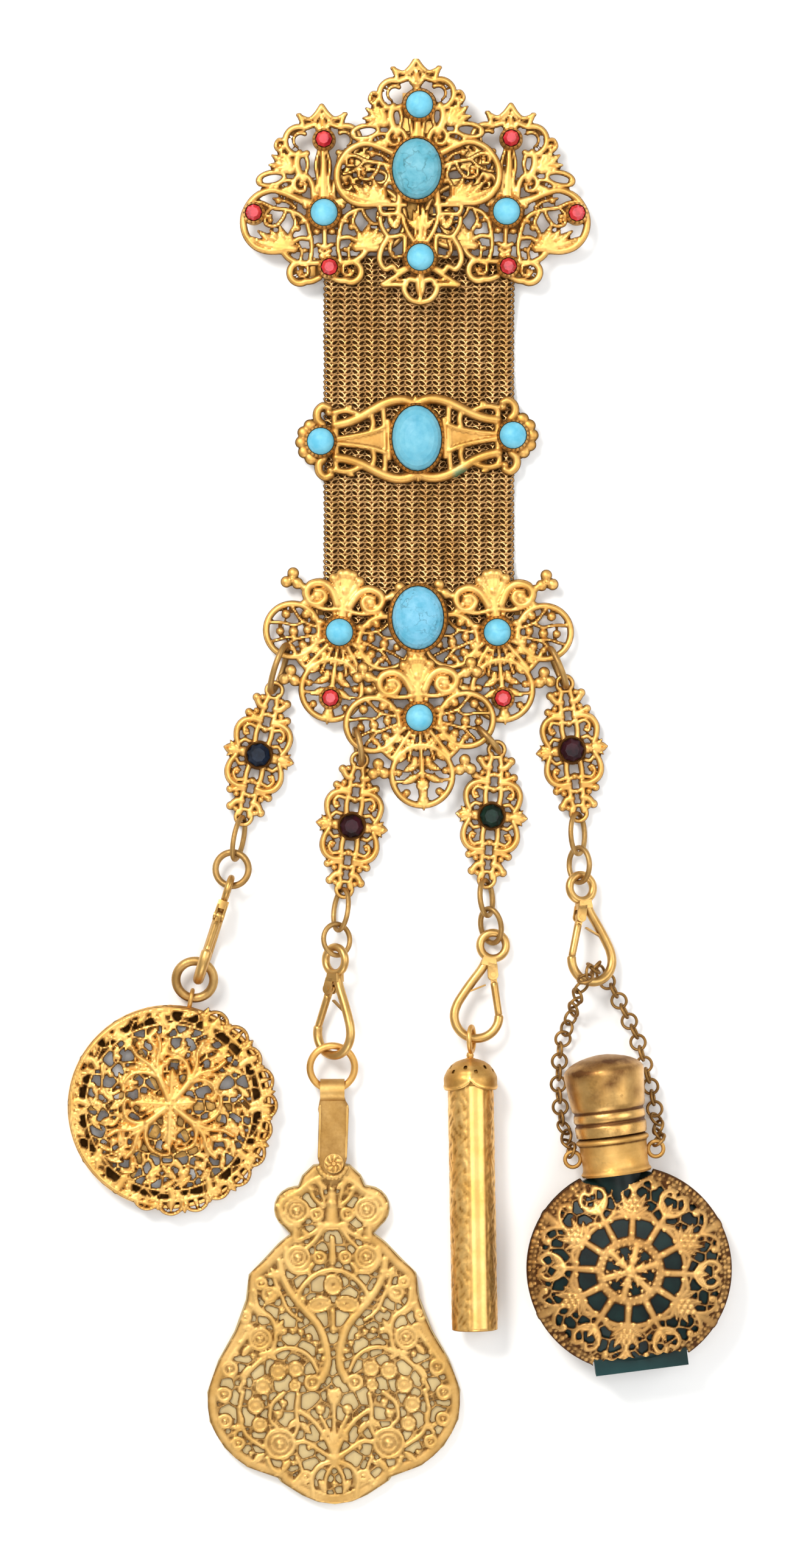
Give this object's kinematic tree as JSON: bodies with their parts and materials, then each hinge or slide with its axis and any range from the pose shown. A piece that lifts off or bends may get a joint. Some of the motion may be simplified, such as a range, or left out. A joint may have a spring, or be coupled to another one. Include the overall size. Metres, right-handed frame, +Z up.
{
  "type": "chatelaine",
  "caption": "Pierced gilt chatelaine: jewelled belt plaque, mesh ribbon with slider, and snap hooks carrying a round case, notebook, needle case and scent bottle.",
  "frame": {"origin": "middle of the box of the object as it lies, on the surface it lies on", "axes": "+Y up the ribbon towards the belt plaque, +X to the wearer's right as seen, +Z up from the surface"},
  "size_m": [0.1303, 0.2842, 0.0159],
  "materials": {
    "gilt": "matte gilt with brown patina in the recesses",
    "polished_gilt": "smooth polished gilt",
    "worn_gilt": "worn gilt with brown patina",
    "mesh": "woven brass links, brown patina",
    "turquoise": "polished opaque blue cabochon",
    "red_stone": "polished faceted",
    "dark_stone": "polished, nearly black",
    "ivory": "matte bone sheet",
    "bottle_glass": "dark green glass"
  },
  "bodies": {
    "chatelaine": {"brooch_plate": "gilt", "brooch_overlay": "gilt", "belt_hook": "gilt", "mesh_ribbon": "mesh", "slider": "gilt", "lower_plate": "gilt", "lower_overlay": "gilt", "brooch_cabochon": "turquoise", "slider_cabochon": "turquoise", "lower_cabochon": "turquoise", "brooch_turquoise_top": "turquoise", "brooch_turquoise_left": "turquoise", "brooch_turquoise_right": "turquoise", "brooch_turquoise_bottom": "turquoise", "slider_turquoise_left": "turquoise", "slider_turquoise_right": "turquoise", "lower_turquoise_left": "turquoise", "lower_turquoise_right": "turquoise", "lower_turquoise_bottom": "turquoise", "brooch_red_stones": "red_stone", "lower_red_stones": "red_stone", "drop_1_plate": "gilt", "drop_2_plate": "gilt", "drop_3_plate": "gilt", "drop_4_plate": "gilt", "drop_1_stone": "dark_stone", "drop_2_stone": "dark_stone", "drop_3_stone": "dark_stone", "drop_4_stone": "dark_stone", "drop_1_links": "gilt", "drop_2_links": "gilt", "drop_3_links": "gilt", "drop_4_links": "gilt", "hook_1": "polished_gilt", "hook_2": "polished_gilt", "hook_3": "polished_gilt", "hook_4": "polished_gilt", "round_case_ring": "worn_gilt", "round_case_front": "gilt", "round_case_rim": "gilt", "round_case_back": "gilt", "notebook_ring": "gilt", "notebook_strap": "gilt", "notebook_back": "gilt", "needle_case_cap": "polished_gilt", "bottle_glass": "bottle_glass", "bottle_cage": "gilt", "bottle_collar": "gilt", "bottle_chain": "gilt"},
    "gate_1": {"gate_1": "polished_gilt"},
    "gate_2": {"gate_2": "polished_gilt"},
    "gate_3": {"gate_3": "polished_gilt"},
    "gate_4": {"gate_4": "polished_gilt"},
    "notebook_leaf_1": {"notebook_leaf_1": "ivory"},
    "notebook_leaf_2": {"notebook_leaf_2": "ivory"},
    "notebook_cover": {"notebook_cover": "gilt"},
    "bottle_cap": {"bottle_cap": "worn_gilt"},
    "needle_case_tube": {"needle_case_tube": "polished_gilt"}
  },
  "joints": [
    {"name": "gate_1_hinge", "type": "hinge", "parent": "chatelaine", "child": "gate_1", "pos_m": [-0.03512, -0.02618, 0.00613], "axis": [0.9511, -0.309, 0], "range_deg": [0, 20]},
    {"name": "gate_2_hinge", "type": "hinge", "parent": "chatelaine", "child": "gate_2", "pos_m": [-0.01337, -0.04058, 0.00353], "axis": [-0.669, 0.0117, 0.7431], "range_deg": [0, 20]},
    {"name": "gate_3_hinge", "type": "hinge", "parent": "chatelaine", "child": "gate_3", "pos_m": [0.01866, -0.0379, 0.00281], "axis": [-0.0288, -0.122, -0.9921], "range_deg": [0, 20]},
    {"name": "gate_4_hinge", "type": "hinge", "parent": "chatelaine", "child": "gate_4", "pos_m": [0.03564, -0.02646, 0.00455], "axis": [0.4093, 0.1229, 0.9041], "range_deg": [0, 20]},
    {"name": "notebook_leaf_1_swing", "type": "hinge", "parent": "chatelaine", "child": "notebook_leaf_1", "pos_m": [-0.0126, -0.0748, 0.002], "axis": [0, 0, 1], "range_deg": [-30, 0]},
    {"name": "notebook_leaf_2_swing", "type": "hinge", "parent": "chatelaine", "child": "notebook_leaf_2", "pos_m": [-0.0126, -0.0748, 0.002], "axis": [0, 0, 1], "range_deg": [-30, 0]},
    {"name": "notebook_cover_swing", "type": "hinge", "parent": "chatelaine", "child": "notebook_cover", "pos_m": [-0.0126, -0.0748, 0.002], "axis": [0, 0, 1], "range_deg": [-30, 0]},
    {"name": "bottle_cap_pull", "type": "slide", "parent": "chatelaine", "child": "bottle_cap", "axis": [-0.1271, 0.9919, 0], "range_m": [0, 0.0052]},
    {"name": "needle_case_pull", "type": "slide", "parent": "chatelaine", "child": "needle_case_tube", "axis": [0.0175, -0.9998, 0], "range_m": [0, 0.006]}
  ]
}
